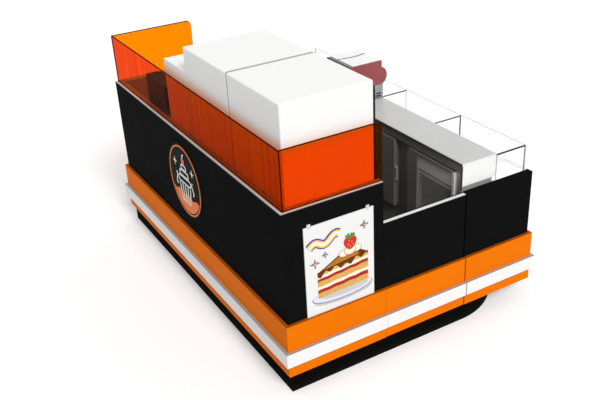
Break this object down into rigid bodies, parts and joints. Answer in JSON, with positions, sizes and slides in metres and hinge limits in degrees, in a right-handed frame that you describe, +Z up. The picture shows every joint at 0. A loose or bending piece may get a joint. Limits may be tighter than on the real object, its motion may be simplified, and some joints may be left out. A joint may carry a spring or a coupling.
{
  "type": "food kiosk",
  "caption": "Walk-in food kiosk: black panelled counter with orange screen and bands, a staff gate, a cold rear counter with glass display, ovens, boiler, till and coffee machine.",
  "frame": {"origin": "on the floor, in the middle of the footprint of the outer bands", "axes": "+X along the long side towards the end with the staff gate, -Y out of the long customer front, +Z up"},
  "size_m": [2.48, 1.75, 1.648],
  "materials": {
    "black_panel": "satin black laminate on board",
    "plinth_black": "matt black painted board",
    "floor_grey": "grey sheet vinyl on board",
    "orange_paint": "satin orange paint on board",
    "white_paint": "satin white paint on board",
    "pale_trim": "satin anodised flat trim",
    "orange_acrylic": "clear polished orange acrylic sheet",
    "dark_laminate": "dark grey laminate",
    "grey_board": "light grey melamine board",
    "white_board": "white melamine board",
    "worktop_grey": "pale grey laminate with a thin bright edge",
    "graphite_paint": "satin graphite powder coat",
    "graphite_laminate": "satin graphite laminate on board",
    "clear_glass": "clear polished glass",
    "door_glass": "grey sealed double pane",
    "steel_fittings": "brushed stainless steel",
    "white_enamel": "gloss white enamel",
    "chrome_wire": "bright chrome plate",
    "oven_glass": "black glass on a folded rim",
    "black_plastic": "fine-textured black plastic",
    "black_metal": "matt black powder coat",
    "maroon_paint": "gloss maroon enamel",
    "sign_face": "black acrylic disc with a raised orange and white motif",
    "poster_face": "printed matt board"
  },
  "bodies": {
    "kiosk": {"boiler_casing": "white_enamel", "boiler_tap": "chrome_wire", "cabinet_carcass": "grey_board", "cabinet_cheeks": "white_board", "cabinet_face": "graphite_laminate", "cabinet_shelves": "grey_board", "coffee_base": "chrome_wire", "coffee_body": "white_enamel", "coffee_cup_tray": "white_enamel", "coffee_side_panels": "maroon_paint", "cold_shelves": "white_enamel", "counter_carcass": "grey_board", "counter_end_panels": "black_panel", "counter_top": "dark_laminate", "display_deck": "white_board", "display_dividers": "clear_glass", "display_front_glass": "clear_glass", "door_hinge_plates": "steel_fittings", "end_screens": "orange_acrylic", "floor_deck": "floor_grey", "front_panel": "black_panel", "front_screen": "orange_acrylic", "gate_hinge_posts": "steel_fittings", "orange_bands": "orange_paint", "oven_casings": "white_enamel", "oven_control_panels": "black_plastic", "oven_liners": "steel_fittings", "oven_racks": "chrome_wire", "plinth": "plinth_black", "poster_board": "poster_face", "rear_end_panels": "black_panel", "rear_panel": "black_panel", "round_sign": "sign_face", "screen_strips": "pale_trim", "till_case": "black_metal", "till_terminal": "black_plastic", "white_bands": "white_paint", "worktop": "worktop_grey"},
    "gate": {"gate_leaf": "black_panel", "gate_cap": "pale_trim", "gate_orange_bands": "orange_paint", "gate_white_band": "white_paint", "gate_pull": "steel_fittings", "gate_hinge_leaves": "steel_fittings"},
    "glass_door": {"glass_door_frame": "graphite_paint", "glass_door_pane": "door_glass", "glass_door_pull": "steel_fittings"},
    "solid_door": {"solid_door": "graphite_paint", "solid_door_pull": "steel_fittings"},
    "near_oven_door": {"near_oven_door": "oven_glass", "near_oven_handle": "steel_fittings"},
    "far_oven_door": {"far_oven_door": "oven_glass", "far_oven_handle": "steel_fittings"},
    "near_oven_knob": {"near_oven_knob": "black_plastic"},
    "far_oven_knob": {"far_oven_knob": "black_plastic"},
    "boiler_lever": {"boiler_lever": "black_plastic"},
    "boiler_tray": {"boiler_drip_tray": "steel_fittings"},
    "till_drawer": {"till_drawer": "black_metal"},
    "coffee_lid": {"coffee_tank_lid": "white_enamel"},
    "coffee_filter": {"coffee_filter_holder": "chrome_wire"}
  },
  "joints": [
    {"name": "gate_swing", "type": "hinge", "parent": "kiosk", "child": "gate", "pos_m": [1.1535, -0.226, 0.492], "axis": [0, 0, 1], "range_deg": [0, 90], "stiffness_Nm_per_rad": 2, "springref_deg": -11.46},
    {"name": "glass_door_swing", "type": "hinge", "parent": "kiosk", "child": "glass_door", "pos_m": [0.665, 0.345, 0.7205], "axis": [0, 0, -1], "range_deg": [0, 100]},
    {"name": "solid_door_swing", "type": "hinge", "parent": "kiosk", "child": "solid_door", "pos_m": [0.095, 0.345, 0.7205], "axis": [0, 0, -1], "range_deg": [0, 100]},
    {"name": "near_oven_door_drop", "type": "hinge", "parent": "kiosk", "child": "near_oven_door", "pos_m": [0.871, -0.235, 1.199], "axis": [-1, 0, 0], "range_deg": [0, 90], "stiffness_Nm_per_rad": 4, "springref_deg": -11.46},
    {"name": "far_oven_door_drop", "type": "hinge", "parent": "kiosk", "child": "far_oven_door", "pos_m": [0.307, -0.235, 1.199], "axis": [-1, 0, 0], "range_deg": [0, 90], "stiffness_Nm_per_rad": 4, "springref_deg": -11.46},
    {"name": "near_oven_knob_turn", "type": "hinge", "parent": "kiosk", "child": "near_oven_knob", "pos_m": [1.061, -0.23, 1.145], "axis": [0, 1, 0], "range_deg": [0, 270]},
    {"name": "far_oven_knob_turn", "type": "hinge", "parent": "kiosk", "child": "far_oven_knob", "pos_m": [0.497, -0.23, 1.145], "axis": [0, 1, 0], "range_deg": [0, 270]},
    {"name": "boiler_lever_pull", "type": "hinge", "parent": "kiosk", "child": "boiler_lever", "pos_m": [-0.138, -0.339, 1.272], "axis": [-1, 0, 0], "range_deg": [0, 25], "stiffness_Nm_per_rad": 0.4, "springref_deg": -8.59},
    {"name": "boiler_tray_slide", "type": "slide", "parent": "kiosk", "child": "boiler_tray", "axis": [0, 1, 0], "range_m": [0, 0.08]},
    {"name": "till_drawer_slide", "type": "slide", "parent": "kiosk", "child": "till_drawer", "axis": [0, 1, 0], "range_m": [0, 0.26]},
    {"name": "coffee_lid_lift", "type": "hinge", "parent": "kiosk", "child": "coffee_lid", "pos_m": [-0.168, 0.57, 1.283], "axis": [-1, 0, 0], "range_deg": [0, 95]},
    {"name": "coffee_filter_twist", "type": "hinge", "parent": "kiosk", "child": "coffee_filter", "pos_m": [-0.088, 0.3875, 1.155], "axis": [0, 0, -1], "range_deg": [0, 40]}
  ]
}
